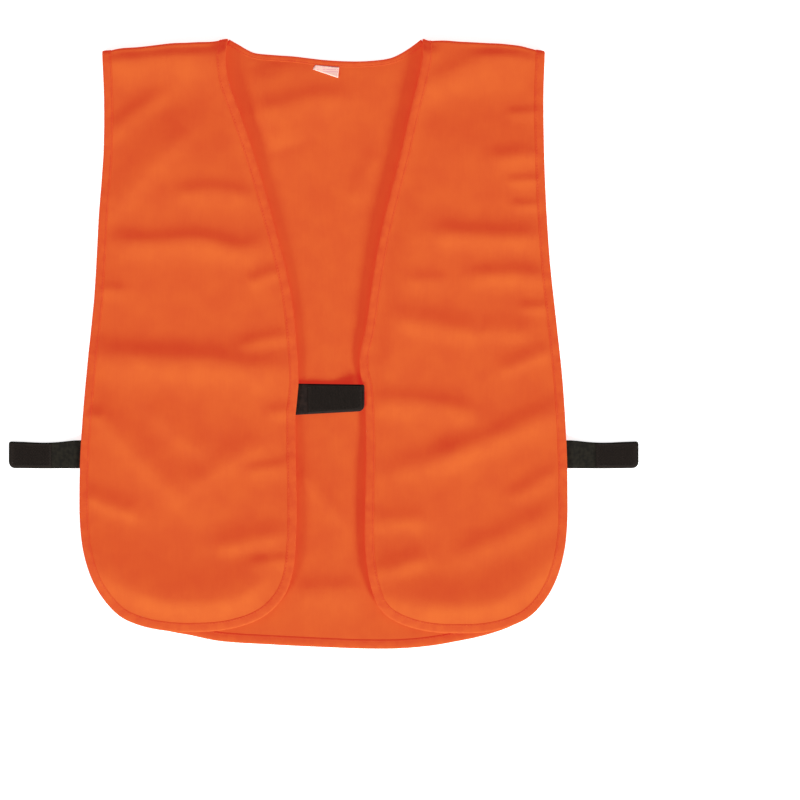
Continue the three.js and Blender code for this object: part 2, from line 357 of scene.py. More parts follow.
LEFT_FRONT_FOLDS = [
    ([(94, 252), (132, 272), (176, 289), (214, 291)], 3.1, 12, 15),
    ([(106, 224), (156, 244), (214, 252)], -1.6, 16, 30),
    ([(184, 230), (218, 232)], 1.6, 5, 6),
    ([(166, 185), (218, 190)], 2.3, 10, 9),
    ([(184, 162), (218, 164)], 1.7, 5, 6),
    ([(188, 138), (218, 138)], 1.6, 5, 6),
    ([(106, 110), (166, 107), (218, 106)], 4.3, 12, 12),
    ([(146, 67), (186, 69), (224, 67)], 3.2, 10, 11),
    ([(82, 63), (126, 64)], 1.4, 8, 9),
    ([(196, 36), (226, 36)], 1.7, 6, 6),
    ([(70, 26), (116, 17), (156, 10)], 3.4, 14, 12),
    ([(156, 14), (210, 10)], 2.3, 14, 9),
    ([(174, -29), (228, -6)], 2.8, 12, 8),
    ([(48, -57), (106, -60), (156, -72)], 3.7, 12, 14),
    ([(112, -116), (176, -92), (238, -64)], 4.4, 14, 14),
    ([(64, -129), (138, -109)], 2.8, 14, 13),
    ([(46, -179), (104, -175)], 2.3, 12, 9),
    ([(52, -229), (104, -213)], 3.4, 13, 10),
    ([(186, -156), (236, -126)], 2.3, 10, 10),
    ([(126, -216), (196, -186), (236, -164)], 3.0, 14, 13),
    ([(54, -238), (82, -256), (126, -262), (176, -254), (216, -226), (236, -196)], 4.8, 26, 16),
    ([(88, 139), (76, 74), (68, 4), (64, -56)], 2.2, 28, 12),
]
BACK_FOLDS = [
    ([(-26, 219), (-2, 94), (10, -36), (12, -136), (16, -266)], 3.0, 18, 18),
    ([(-66, 280), (-58, 244), (-42, 194)], 4.4, 40, 13),
    ([(-72, 228), (-24, 242), (28, 248)], 3.0, 12, 15),
    ([(-24, -126), (22, -180)], 1.8, 12, 9),
    ([(-28, -249), (40, -246)], 2.8, 12, 16),
    ([(28, 139), (54, 194)], 1.4, 10, 10),
]

# how far the opening edge of each front curls up, at each y (mm)
RIGHT_CURL = [
    (-290, 0), (-240, 2.4), (-120, 2.2), (-78, 0), (-33, 0), (0, 1), (160, 1.0), (220, 4), (285, 5),
]
LEFT_CURL = [
    (-290, 0), (-260, 1.4), (-225, 3), (-140, 3), (-105, 0.7), (-60, 0.2), (-20, 1), (60, 3), (285, 3.8),
]
CURL_REACH = 13 * MM
OPENING_HALF = 165 * MM
OPENING_FADE = 30 * MM

# how a front rises away from its edges, and where its folds fade out
CROWN = 3.0 * MM
CROWN_REACH = 34 * MM
CROWN_START = 75 * MM
EDGE_FADE = 12 * MM
SHOULDER_FADE = 11 * MM
# how deep a hollow may go at the edge and further in, and how gently it levels out there
EDGE_DIP = 0.25 * MM
INNER_DIP = 1.8 * MM
DIP_START = 9 * MM
DIP_FADE = 14 * MM
SOFT_FLOOR = 0.5 * MM
# broad and fine unevenness: height and size
BROAD = (0.6 * MM, 0.06)
FINE = (0.15 * MM, 0.019)
# how far out of its straight line each shoulder seam bows (mm), by share of the way to the arm
RIGHT_SEAM_BOW = [
    (0, -3.0), (0.05, -3.1), (0.1, -3.6), (0.15, -3.6), (0.24, -2.7), (0.33, -2.1), (0.45, -1.1),
    (0.6, -1.4), (0.72, -1.5), (0.83, -0.9), (0.9, -1.4), (0.94, -2.2), (1, -2.0),
]
LEFT_SEAM_BOW = [
    (0, -2.8), (0.05, -4.0), (0.1, -3.1), (0.19, -1.8), (0.3, -1.4), (0.4, -0.7), (0.54, 0.2),
    (0.63, 0.9), (0.78, 0.9), (0.84, 0.0), (0.89, -0.9), (0.93, -1.7), (1, -2.4),
]
SEAM_GAP = 0.3 * MM
# small puckers beside the binding
PUCKER = 0.75 * MM
PUCKER_LENGTH = 9 * MM
PUCKER_REACH = 13 * MM
RIDGE_STEP = 8 * MM
RIDGE_CUTOFF = 2.6

front_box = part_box("right_front_binding")
back_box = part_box("back_binding")
FRONT_LEVEL = (front_box[0].z + front_box[1].z) / 2
BACK_LEVEL = (back_box[0].z + back_box[1].z) / 2
AXIS_LEVEL = (FRONT_LEVEL + BACK_LEVEL) / 2
WRAP_RADIUS = FRONT_LEVEL - AXIS_LEVEL
WRAP_LENGTH = math.pi * WRAP_RADIUS
# the shoulder's finer mesh: how far inside the seam it starts, its rows, and what it leaves free
WRAP_MARGIN = 3.0 * MM
WRAP_STEP = 0.9 * MM
WRAP_LAST = 0.4 * MM
WRAP_COLUMNS = 44
SEAM_POINTS = 50
SEAM_END = 2 * MM


def fold_height(points, folds):
    """The sum of soft ridges, each steeper on one side than on the other."""
    total = np.zeros(len(points))
    for ridge, height, left_reach, right_reach in folds:
        line = smooth_line(np.array(ridge) * MM, RIDGE_STEP)
        reach = max(left_reach, right_reach) * MM * RIDGE_CUTOFF
        near = ((points > line.min(0) - reach) & (points < line.max(0) + reach)).all(1)
        if not near.any():
            continue
        gap, along, turned = distance_to_line(points[near], line)
        share = along / lengths_along(line)[-1]
        side = 0.5 + 0.5 * turned / np.maximum(gap, 1e-9)
        width = (right_reach + (left_reach - right_reach) * side) * MM
        ends = smoothstep((share + 0.12) / 0.34) * smoothstep((1.12 - share) / 0.34)
        total[near] += height * MM * np.exp(-(gap / width) ** 2) * ends
    return total


class Front:
    """A front panel: its bound edge, its height above the back, and its wrap at the shoulder."""

    def __init__(self, side, folds):
        self.side = side
        self.folds = folds
        self.curl = RIGHT_CURL if side == "right" else LEFT_CURL
        self.seed = 3.7 if side == "right" else 8.1
        low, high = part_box(f"{side}_front_panel")
        centre = np.array([(low.x + high.x) / 2, (low.y + high.y) / 2])
        self.edge = smooth_line(band_edge(f"{side}_front_binding", centre), EDGE_STEP)
        shoulder = self.edge[0] - self.edge[-1]
        self.shoulder_length = np.linalg.norm(shoulder)
        self.along = shoulder / self.shoulder_length
        self.outward = np.array([self.along[1], -self.along[0]])
        bow = RIGHT_SEAM_BOW if side == "right" else LEFT_SEAM_BOW
        self.bow = smooth_line(np.array(bow), 0.05)

    def bow_at(self, points):
        """How far the shoulder seam stands out of its straight line beside each point."""
        share = (points - self.edge[-1]) @ self.along / self.shoulder_length
        from_neck = share if self.side == "right" else 1 - share
        return np.interp(from_neck, self.bow[:, 0], self.bow[:, 1]) * MM

    def beyond(self, points):
        """How far past the shoulder seam each point is; negative on the panel."""
        return (points - self.edge[-1]) @ self.outward - self.bow_at(points)

    def seam_line(self, count, margin, shift=0.0):
        """Points along the shoulder seam, moved outward by shift."""
        at = np.linspace(margin, self.shoulder_length - margin, count)
        line = self.edge[-1] + at[:, None] * self.along
        return line + (self.bow_at(line) + shift)[:, None] * self.outward

    def extended_edge(self):
        """The bound edge with its two ends carried over the shoulder."""
        ends = []
        for end in (self.edge[0], self.edge[-1]):
            reach = WRAP_LENGTH + self.bow_at(end[None])[0]
            steps = np.linspace(reach, 0, 6, endpoint=False)
            ends.append(end + steps[:, None] * self.outward)
        return np.vstack([ends[0], self.edge, ends[1][::-1]])

    def height(self, points):
        """The middle of the cloth above the floor: its crown, folds, puckers and curled edge."""
        edge_gap, along_edge, _ = distance_to_line(points, self.edge)
        shoulder_gap = np.maximum(-self.beyond(points), 0)
        rise = CROWN * smoothstep(edge_gap / CROWN_REACH) * smoothstep(shoulder_gap / CROWN_START - 0.6)
        folds = fold_height(points, self.folds)
        broad = BROAD[0] * noise_at(points, BROAD[1], self.seed)
        fine = FINE[0] * noise_at(points, FINE[1], self.seed + 5)
        folds += broad + fine
        folds *= 0.25 + 0.75 * smoothstep(edge_gap / EDGE_FADE)
        ripple = noise_at(np.stack([along_edge, edge_gap * 0.35], 1), PUCKER_LENGTH, self.seed + 9)
        folds += PUCKER * 0.5 * (1 + ripple) * np.exp(-(edge_gap / PUCKER_REACH) ** 2 * 0.7)
        at_y, lift = np.array(self.curl).T * MM
        opening = smoothstep((OPENING_HALF - np.abs(points[:, 0])) / OPENING_FADE)
        folds += np.interp(points[:, 1], at_y, lift) * opening * np.exp(-(edge_gap / CURL_REACH) ** 2)
        lowest = -EDGE_DIP - INNER_DIP * smoothstep((edge_gap - DIP_START) / DIP_FADE)
        excess = rise + folds - lowest
        raised = lowest + 0.5 * (excess + np.sqrt(excess ** 2 + SOFT_FLOOR ** 2))
        return FRONT_LEVEL + raised * smoothstep(shoulder_gap / SHOULDER_FADE)

    def place(self, points, lift):
        """Points of the cloth over its plan, lifted off its middle and wrapped at the shoulder."""
        q = self.beyond(points)
        flat = np.column_stack([points, self.height(points) + lift])
        angle = np.clip(q / WRAP_RADIUS, 0, math.pi)
        foot = points - q[:, None] * self.outward
        reach = WRAP_RADIUS + lift
        round_xy = foot + (reach * np.sin(angle))[:, None] * self.outward
        rounded = np.column_stack([round_xy, AXIS_LEVEL + reach * np.cos(angle)])
        return np.where((q > 0)[:, None], rounded, flat)

    def cloth_ring(self, inset):
        """The cloth's outline, inset from its bound edge."""
        line = self.extended_edge()
        seam = self.seam_line(SEAM_POINTS, SEAM_END, WRAP_LENGTH)
        return np.vstack([line + inset * inward_normals(line), seam])


def cut_short(line, front):
    """The line's part inside a front's shoulder seam; it starts at that seam."""
    past = front.beyond(line) + SEAM_GAP
    first = int(np.argmax(past < 0))
    if first == 0:
        return line
    t = past[first - 1] / (past[first - 1] - past[first])
    start = line[first - 1] + t * (line[first] - line[first - 1])
    return np.vstack([start, line[first:]])


class Back:
    """The back panel, lying on the floor."""

    def __init__(self, right, left):
        centre = np.zeros(2)
        rim = smooth_line(band_edge("back_binding", centre), EDGE_STEP)
        self.rim = cut_short(cut_short(rim, right)[::-1], left)[::-1]
        self.neck = smooth_line(band_edge("neck_binding", centre), EDGE_STEP)
        self.right = right
        self.left = left

    def height(self, points):
        whole = np.vstack([self.rim, self.neck, self.rim[:1]])
        edge_gap = distance_to_line(points, whole)[0]
        folds = fold_height(points, BACK_FOLDS) + 0.25 * MM * (1 + noise_at(points, 0.05, 1.3))
        folds *= smoothstep(edge_gap / EDGE_FADE)
        return BACK_LEVEL + folds

    def place(self, points, lift):
        return np.column_stack([points, self.height(points) + lift])

    def cloth_ring(self, inset):
        rim, neck = (line + inset * inward_normals(line) for line in (self.rim, self.neck))
        left = self.left.seam_line(SEAM_POINTS, SEAM_END, -SEAM_GAP)
        right = self.right.seam_line(SEAM_POINTS, SEAM_END, -SEAM_GAP)
        return np.vstack([rim, left, neck, right])


def inside_ring(points, ring):
    """Which points lie inside the closed ring."""
    inside = np.zeros(len(points), bool)
    for a, b in zip(ring, np.roll(ring, -1, 0)):
        if a[1] == b[1]:
            continue
        crosses = (a[1] > points[:, 1]) != (b[1] > points[:, 1])
        x = a[0] + (points[:, 1] - a[1]) / (b[1] - a[1]) * (b[0] - a[0])
        inside ^= crosses & (points[:, 0] < x)
    return inside


def cloth_mesh(name, panel, material, fine_points=None):
    """A closed sheet of cloth, two layers joined round the rim, and the area of its plan."""
    ring = panel.cloth_ring(TAPE + 0.3 * MM)
    low, high = ring.min(0), ring.max(0)
    xs = np.arange(low[0] + 0.7 * MM, high[0], MESH_STEP)
    ys = np.arange(low[1] + 0.7 * MM, high[1], MESH_STEP)
    grid = np.stack(np.meshgrid(xs, ys), -1).reshape(-1, 2)
    if fine_points is not None:
        grid = np.vstack([grid[panel.beyond(grid) < -WRAP_MARGIN - 0.5 * MM], fine_points])
    grid = grid[inside_ring(grid, ring)]
    closed = np.vstack([ring, ring[:1]])
    grid = grid[distance_to_line(grid, closed)[0] > 0.45 * EDGE_STEP]
    flat = np.vstack([ring, grid])
    border = [(i, (i + 1) % len(ring)) for i in range(len(ring))]
    made = geometry.delaunay_2d_cdt([Vector(p) for p in flat], border, [], 1, 1e-7)
    flat = np.array([tuple(v) for v in made[0]])
    tris = np.array(made[2])
    a, b, c = flat[tris[:, 0]], flat[tris[:, 1]], flat[tris[:, 2]]
    spin = (b[:, 0] - a[:, 0]) * (c[:, 1] - a[:, 1]) - (b[:, 1] - a[:, 1]) * (c[:, 0] - a[:, 0])
    tris[spin < 0] = tris[spin < 0][:, ::-1]
    top = panel.place(flat, np.full(len(flat), CLOTH / 2))
    bottom = panel.place(flat, np.full(len(flat), -CLOTH / 2))
    count = len(flat)
    sides = {(t[i], t[(i + 1) % 3]): True for t in tris for i in range(3)}
    rim = [(i, j) for i, j in sides if (j, i) not in sides]
    faces = [*map(tuple, tris), *(tuple(t[::-1] + count) for t in tris)]
    faces += [(j, i, i + count, j + count) for i, j in rim]
    piece = add_mesh(name, np.vstack([top, bottom]), faces, material, np.vstack([flat, flat]))
    return piece, area_inside(ring)


# --- materials

class Material:
    """A Principled material with small helpers for its procedural detail."""

    def __init__(self, name, color, roughness, sheen=0.0, sheen_tint=(1, 1, 1), specular=0.35):
        self.material = bpy.data.materials.new(name)
        self.material.use_nodes = True
        self.tree = self.material.node_tree
        self.shader = self.tree.nodes["Principled BSDF"]
        self.set("Base Color", (*color, 1))
        self.set("Roughness", roughness)
        self.set("Sheen Weight", sheen)
        self.set("Sheen Roughness", 0.4)
        self.set("Sheen Tint", (*sheen_tint, 1))
        self.set("Specular IOR Level", specular)
        self.bumps = []
        self.flat = self.node("ShaderNodeUVMap")
        self.flat.uv_map = "flat"

    def set(self, socket, value):
        self.shader.inputs[socket].default_value = value

    def node(self, kind, **settings):
        made = self.tree.nodes.new(kind)
        for key, value in settings.items():
            if key in made.inputs:
                made.inputs[key].default_value = value
            else:
                setattr(made, key, value)
        return made

    def link(self, source, target):
        self.tree.links.new(source, target)

    def math(self, operation, a, b=None):
        made = self.node("ShaderNodeMath", operation=operation)
        for socket, value in zip(made.inputs, (a, b)):
            if isinstance(value, (int, float)):
                socket.default_value = value
            elif value is not None:
                self.link(value, socket)
        return made.outputs[0]

    def stretched(self, x, y):
        """The flat cloth's coordinates, each multiplied by its own factor."""
        mapping = self.node("ShaderNodeMapping")
        mapping.inputs["Scale"].default_value = (x, y, 1)
        self.link(self.flat.outputs[0], mapping.inputs["Vector"])
        return mapping.outputs[0]

    def noise(self, scale, detail=2.0, x=1.0, y=1.0):
        made = self.node("ShaderNodeTexNoise", Scale=scale, Detail=detail)
        self.link(self.stretched(x, y), made.inputs["Vector"])
        return made.outputs["Fac"]

    def waves(self, pitch, direction, distortion=0.0, detail_scale=1.0):
        """Ridges across X or Y, pitch metres apart, from 0 to 1."""
        made = self.node("ShaderNodeTexWave", bands_direction=direction)
        made.inputs["Scale"].default_value = math.pi / (10 * pitch)
        made.inputs["Distortion"].default_value = distortion
        made.inputs["Detail Scale"].default_value = detail_scale
        self.link(self.flat.outputs[0], made.inputs["Vector"])
        return made.outputs["Fac"]

    def tint_by(self, factor, low, high, span=(0.3, 0.7)):
        """The base colour runs from low to high as factor runs over span."""
        ramp = self.node("ShaderNodeMapRange", interpolation_type="SMOOTHSTEP")
        ramp.inputs["From Min"].default_value = span[0]
        ramp.inputs["From Max"].default_value = span[1]
        self.link(factor, ramp.inputs["Value"])
        mix = self.node("ShaderNodeMix", data_type="RGBA")
        mix.inputs["A"].default_value = (*low, 1)
        mix.inputs["B"].default_value = (*high, 1)
        self.link(ramp.outputs[0], mix.inputs["Factor"])
        self.link(mix.outputs["Result"], self.shader.inputs["Base Color"])

    def bump(self, height, distance, strength=1.0):
        made = self.node("ShaderNodeBump")
        made.inputs["Distance"].default_value = distance
        made.inputs["Strength"].default_value = strength
        self.link(height, made.inputs["Height"])
        if self.bumps:
            self.link(self.bumps[-1], made.inputs["Normal"])
        self.bumps.append(made.outputs["Normal"])
        self.link(made.outputs["Normal"], self.shader.inputs["Normal"])


def linear(red, green, blue):
    """A display colour, 0 to 255, in scene linear values."""
    values = [v / 255 for v in (red, green, blue)]
    return tuple(v / 12.92 if v <= 0.04045 else ((v + 0.055) / 1.055) ** 2.4 for v in values)


def painted_red_glow(material):
    """A constant red glow, which is painted light: the orange stays bright red in shade and in light alike,
    as if the cloth were a lamp.
    """
    material.set("Emission Color", (1.0, 0.02, 0.02, 1))
    material.set("Emission Strength", 0.54)


def tricot():
    """Warp-knitted polyester: fine wales along the length, soft nap and a faint mottle."""
    made = Material("blaze_tricot", linear(117, 78, 24), 0.95, 0.02, (1.0, 0.5, 0.2), 0.05)
    mottle = made.noise(38, 3.0)
    streaks = made.noise(420, 2.0, 1.0, 0.12)
    mixed = made.math("ADD", made.math("MULTIPLY", mottle, 0.8), made.math("MULTIPLY", streaks, 0.2))
    made.tint_by(mixed, linear(113, 77, 29), linear(122, 84, 31))
    wales = made.waves(1.1 * MM, "X", 0.6, 2.0)
    courses = made.waves(0.8 * MM, "Y", 0.4, 2.0)
    knit = made.math("MULTIPLY", wales, made.math("ADD", 0.6, made.math("MULTIPLY", courses, 0.4)))
    made.bump(knit, 0.16 * MM, 0.55)
    made.bump(made.noise(2600, 1.0), 0.06 * MM, 0.4)
    # painted light: the cloth glows a constant red
    painted_red_glow(made)
    return made.material


def tape():
    """Bias binding: a tighter, slightly glossier plain weave."""
    made = Material("binding_tape", linear(114, 72, 22), 0.85, 0.02, (1.0, 0.5, 0.2), 0.07)
    mottle = made.noise(120, 3.0)
    made.tint_by(mottle, linear(112, 71, 26), linear(121, 79, 28))
    warp = made.waves(0.55 * MM, "X", 0.3, 2.0)
    weft = made.waves(0.55 * MM, "Y", 0.3, 2.0)
    made.bump(made.math("ADD", warp, weft), 0.05 * MM, 0.5)
    made.bump(made.noise(160, 2.0), 0.35 * MM, 0.5)
    # painted light: the tape glows a constant red
    painted_red_glow(made)
    return made.material


def thread():
    made = Material("orange_thread", linear(102, 64, 20), 0.6, 0.05, (1.0, 0.6, 0.4), 0.15)
    made.bump(made.noise(3000, 1.0), 0.05 * MM, 0.5)
    made.tint_by(made.noise(300, 1.0), linear(96, 60, 19), linear(108, 69, 22))
    # painted light: the thread glows a constant red
    painted_red_glow(made)
    return made.material


def webbing():
    """Black woven webbing with ribs across its length and a worn, slightly grey top."""
    made = Material("black_webbing", linear(34, 25, 21), 0.8, 0.03, (0.9, 0.8, 0.7), 0.1)
    made.tint_by(made.noise(210, 3.0), linear(28, 21, 18), linear(41, 30, 26))
    ribs = made.waves(1.25 * MM, "X", 0.5, 2.0)
    ends = made.waves(0.9 * MM, "Y", 0.5, 2.0)
    made.bump(made.math("ADD", ribs, made.math("MULTIPLY", ends, 0.6)), 0.16 * MM, 0.7)
    return made.material


def elastic():
    made = Material("black_elastic", linear(30, 28, 22), 0.75, 0.03, (0.9, 0.9, 0.7), 0.1)
    made.tint_by(made.noise(260, 2.0), linear(24, 22, 18), linear(36, 33, 26))
    made.bump(made.waves(0.8 * MM, "X", 0.4, 2.0), 0.1 * MM, 0.7)
    return made.material


def hook_tape():
    made = Material("black_hook_tape", linear(31, 25, 21), 0.6, 0.0, (1, 1, 1), 0.12)
    made.tint_by(made.noise(900, 1.0), linear(24, 19, 16), linear(38, 30, 25))
    made.bump(made.noise(2200, 1.0), 0.1 * MM, 0.8)
    return made.material


def loop_tape():
    """The soft side of hook-and-loop tape: a dense, napped pile."""
    made = Material("black_loop_tape", linear(40, 38, 41), 0.95, 0.6, (0.7, 0.7, 0.8), 0.15)
    made.tint_by(made.noise(700, 4.0), linear(30, 29, 32), linear(54, 51, 54))
    made.bump(made.noise(1500, 5.0), 0.5 * MM, 0.9)
    return made.material


def black_thread():
    made = Material("black_thread", linear(30, 25, 21), 0.6, 0.05, (0.9, 0.9, 0.9), 0.1)
    made.bump(made.noise(3000, 1.0), 0.05 * MM, 0.5)
    return made.material


def satin():
    """White woven satin with a few faint lilac bars where a care label is printed; its white is tinted
    pink, painted light from the orange cloth shining through it.
    """
    made = Material("label_satin", linear(232, 196, 190), 0.4, 0.1, (1, 0.9, 0.9), 0.4)
    bars = made.waves(2.4 * MM, "Y", 0.0, 1.0)
    breaks = made.noise(700, 0.0, 1.0, 0.2)
    ink = made.math("MULTIPLY", bars, made.math("GREATER_THAN", breaks, 0.47))
    # the low colour is the white tinted pink, painted light from the orange cloth beneath
    made.tint_by(ink, linear(240, 194, 180), linear(226, 158, 166), (0.5, 0.85))
    made.bump(made.waves(0.35 * MM, "X", 0.2, 1.0), 0.03 * MM, 0.5)
    return made.material


# --- binding and its stitching

# the folded tape's section: distance in from the edge, and height off the cloth's middle (mm)
BINDING_SECTION = [
    (9.0, 0.62), (8.7, 0.82), (8.2, 0.88), (7.7, 0.78), (7.1, 0.93), (4.6, 1.12), (2.0, 1.1),
    (0.8, 0.85), (0.15, 0.45), (0.0, 0.0), (0.15, -0.45), (0.8, -0.85), (2.0, -1.05),
    (4.6, -1.1), (7.1, -0.93), (7.7, -0.8), (8.2, -0.88), (8.7, -0.82), (9.0, -0.62),
    (9.0, -0.45), (4.6, -0.5), (1.3, -0.5), (0.8, 0.0), (1.3, 0.5), (4.6, 0.5), (9.0, 0.45),
]
STITCH_AT = 7.7 * MM
THREAD_LIFT = 0.86 * MM


def add_binding(name, panel, line, width, material):
    """Tape folded over the cloth's edge along line."""
    inward = inward_normals(line)
    section = np.array(BINDING_SECTION) * MM
    section[:, 0] *= width / BINDING_WIDTH
    flat = line[:, None] + inward[:, None] * section[None, :, :1]
    lift = np.broadcast_to(section[None, :, 1], flat.shape[:2])
    points = panel.place(flat.reshape(-1, 2), lift.ravel())
    uv = np.stack(np.meshgrid(lengths_along(section), lengths_along(line)), -1).reshape(-1, 2)
    faces = [f[::-1] for f in loft_faces(len(line), len(section))]
    return add_mesh(name, points, faces, material, uv)


def surface_line(panel, line, lift):
    """A line on the cloth, lifted off it, with the cloth's normals."""
    points = panel.place(line, np.full(len(line), lift))
    higher = panel.place(line, np.full(len(line), lift + 0.5 * MM))
    return points, unit(higher - points)


def stand_for(piece, slot, *nodes):
    """The piece takes the place of these CAD nodes, which are hidden; the piece and the colour slot are not
    used here.
    """
    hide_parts(*nodes)


def add_under_row(name, panel, row, lift, material, body):
    """A row of stitches on the underside of a panel."""
    points, normals = surface_line(panel, row, lift)
    sewn = add_stitches(name, [(points, -normals)], material)
    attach(sewn, body)


def add_topstitch(name, panel, line, width, material):
    inset = STITCH_AT * width / BINDING_WIDTH
    row = evenly(line + inset * inward_normals(line), 1.0 * MM)
    upper = surface_line(panel, row, THREAD_LIFT)
    under, down = surface_line(panel, row, -THREAD_LIFT)
    return add_stitches(name, [upper, (under, -down)], material)


def add_trim(part, panel, line, width, materials):
    """The binding tape along a line of the panel's edge, and its topstitching."""
    binding = add_binding(f"{part}_binding_tape", panel, line, width, materials["tape"])
    stand_for(binding, "binding_tape", f"{part}_binding")
    row = add_topstitch(f"{part}_stitching", panel, line, width, materials["thread"])
    stand_for(row, "orange_thread", f"{part}_topstitch")
    return [binding, row]


def add_back(right, left, materials):
    """The back's cloth, the two tapes that bind it, and their stitches."""
    back = Back(right, left)
    cloth, area = cloth_mesh("back_cloth", back, materials["tricot"])
    stand_for(cloth, "blaze_tricot", "back_panel")
    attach(cloth, "back")
    trim = []
    for part, line, width in (("back", back.rim, BINDING_WIDTH), ("neck", back.neck, NECK_BINDING_WIDTH)):
        trim += add_trim(part, back, line, width, materials)
    for piece in trim:
        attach(piece, "back")
    return back


def add_front(front, materials):
    """A front's cloth, binding and stitches, wrapped round at the shoulder seam."""
    side = front.side
    rows = np.arange(-WRAP_MARGIN, WRAP_LENGTH - WRAP_LAST, WRAP_STEP)
    fine = np.vstack([front.seam_line(WRAP_COLUMNS, SEAM_END, row) for row in rows])
    body = f"{side}_front"
    cloth, area = cloth_mesh(f"{side}_front_cloth", front, materials["tricot"], fine)
    stand_for(cloth, "blaze_tricot", f"{side}_front_panel")
    trim = add_trim(body, front, front.extended_edge(), BINDING_WIDTH, materials)
    for piece in (cloth, *trim):
        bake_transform(piece)


# --- straps, tab and hook-and-loop

WEBBING = 1.4 * MM
HOOK_TAPE = 0.45 * MM
HOOK_LIFT = WEBBING / 2 + 0.25 * MM
HOOK_CORNER = 2 * MM
# lengthwise steps of a strip's mesh: along the straight, and round a corner
STATION = 2 * MM
CORNER_STATION = 0.5 * MM
# a strap's half thickness, as a share of the whole, at each share of its width
SELVEDGE = [
    (0, 0.3), (0.012, 0.75), (0.045, 1), (0.15, 0.97), (0.3, 1), (0.5, 0.98),
    (0.7, 1), (0.85, 0.97), (0.955, 1), (0.988, 0.75), (1, 0.3),
]
STRAP_Y = -111 * MM
TAB_Y = -55.5 * MM


def along_x(start, end, step, fine=None):
    """Stations from start to end, closer together over the fine span."""
    stations = np.arange(start, end, step)
    if fine:
        stations = np.concatenate([stations, np.arange(fine[0], fine[1], 0.7 * MM)])
    return np.unique(np.round(np.append(stations, end), 6))


def with_corner(stations, start, end):
    """The stations, and finer ones round the corner from start to end."""
    return np.unique(np.concatenate([stations, along_x(start, end, CORNER_STATION)]))


def end_round(x, end, radius):
    """How much narrower one edge is at x, because of the rounded corner at end."""
    into = np.clip((x - (end - radius)) / radius, 0, 1)
    return radius * (1 - np.sqrt(1 - into ** 2))


class Strip:
    """Flat webbing that runs along X: the height of its middle and its two edges at each x."""

    def __init__(self, heights, low_edge, high_edge, sag=None):
        self.heights = heights
        self.low_edge = low_edge
        self.high_edge = high_edge
        self.sag = sag or (lambda x, y: 0 * x)

    def middle(self, x):
        xs, zs = zip(*self.heights)
        line = smooth_line(np.array([xs, zs]).T * MM, 0.5 * MM)
        return np.interp(x, line[:, 0], line[:, 1])

    def surface(self, x, y, lift):
        """Points over (x, y), lifted square to the strip."""
        z = self.middle(x)
        slope = (self.middle(x + 0.3 * MM) - self.middle(x - 0.3 * MM)) / (0.6 * MM)
        length = np.sqrt(1 + slope ** 2)
        return np.stack([x - lift * slope / length, y, z + lift / length + self.sag(x, y)], -1)

    def mesh(self, name, stations, thickness, lift, material, sign=1, inset=0.0, round_end=None):
        """A piece over the stations, round at round_end; sign -1 mirrors it to the right."""
        x = stations
        low = self.low_edge(x) + inset
        high = self.high_edge(x) - inset
        if round_end:
            corner = end_round(x, round_end, HOOK_CORNER)
            low, high = low + corner, high - corner
        share, half = np.array(SELVEDGE).T
        share = np.concatenate([share, share[::-1]])
        half = np.concatenate([half, -half[::-1]]) * thickness / 2
        xs = np.repeat(x[:, None], len(share), 1)
        ys = low[:, None] + (high - low)[:, None] * share[None]
        points = self.surface(xs, ys, lift + np.broadcast_to(half, xs.shape))
        points[..., 0] *= sign
        uv = np.stack([xs, ys], -1).reshape(-1, 2)
        faces = loft_faces(len(x), len(share))
        if sign > 0:
            faces = [f[::-1] for f in faces]
        return add_mesh(name, points.reshape(-1, 3), faces, material, uv)

    def stitches(self, name, corners, lift, material, sign=1, down=False):
        """Stitches along the closed or open way through corners, on the strip's face."""
        way = evenly(np.array(corners) * MM, 0.8 * MM)
        points = self.surface(way[:, 0], way[:, 1], lift)
        higher = self.surface(way[:, 0], way[:, 1], lift + 0.5 * MM)
        normals = unit(higher - points) * (-1 if down else 1)
        points[:, 0] *= sign
        normals[:, 0] *= sign
        return add_stitches(name, [(points, normals)], material)

    def hooks(self, name, x0, x1, lift, material, sign=1, inset=2.2 * MM):
        """Rows of small bent hooks standing on the tape."""
        pitch = 1.45 * MM
        all_points, all_faces = [], []
        for i, x in enumerate(np.arange(x0, x1, pitch)):
            low, high = self.low_edge(x) + inset, self.high_edge(x) - inset
            for y in np.arange(low + (i % 2) * 0.5 * pitch, high, pitch):
                lean = 1 if i % 2 else -1
                rings = [(0.0, 0.0, 0.30), (0.05, 0.32, 0.20), (0.22, 0.55, 0.17), (0.5, 0.5, 0.12)]
                base = len(all_points)
                for shift, rise, half in rings:
                    for dx, dy in ((-half, -0.15), (half, -0.15), (half, 0.15), (-half, 0.15)):
                        px = x + (dx + lean * shift) * MM
                        all_points.append((px, y + dy * MM, rise * MM))
                all_faces += [tuple(base + v for v in f) for f in loft_faces(len(rings), 4)]
        raw = np.array(all_points)
        points = self.surface(raw[:, 0], raw[:, 1], lift + raw[:, 2])
        points[:, 0] *= sign
        faces = all_faces if sign > 0 else [f[::-1] for f in all_faces]
        return add_mesh(name, points, faces, material, raw[:, :2])


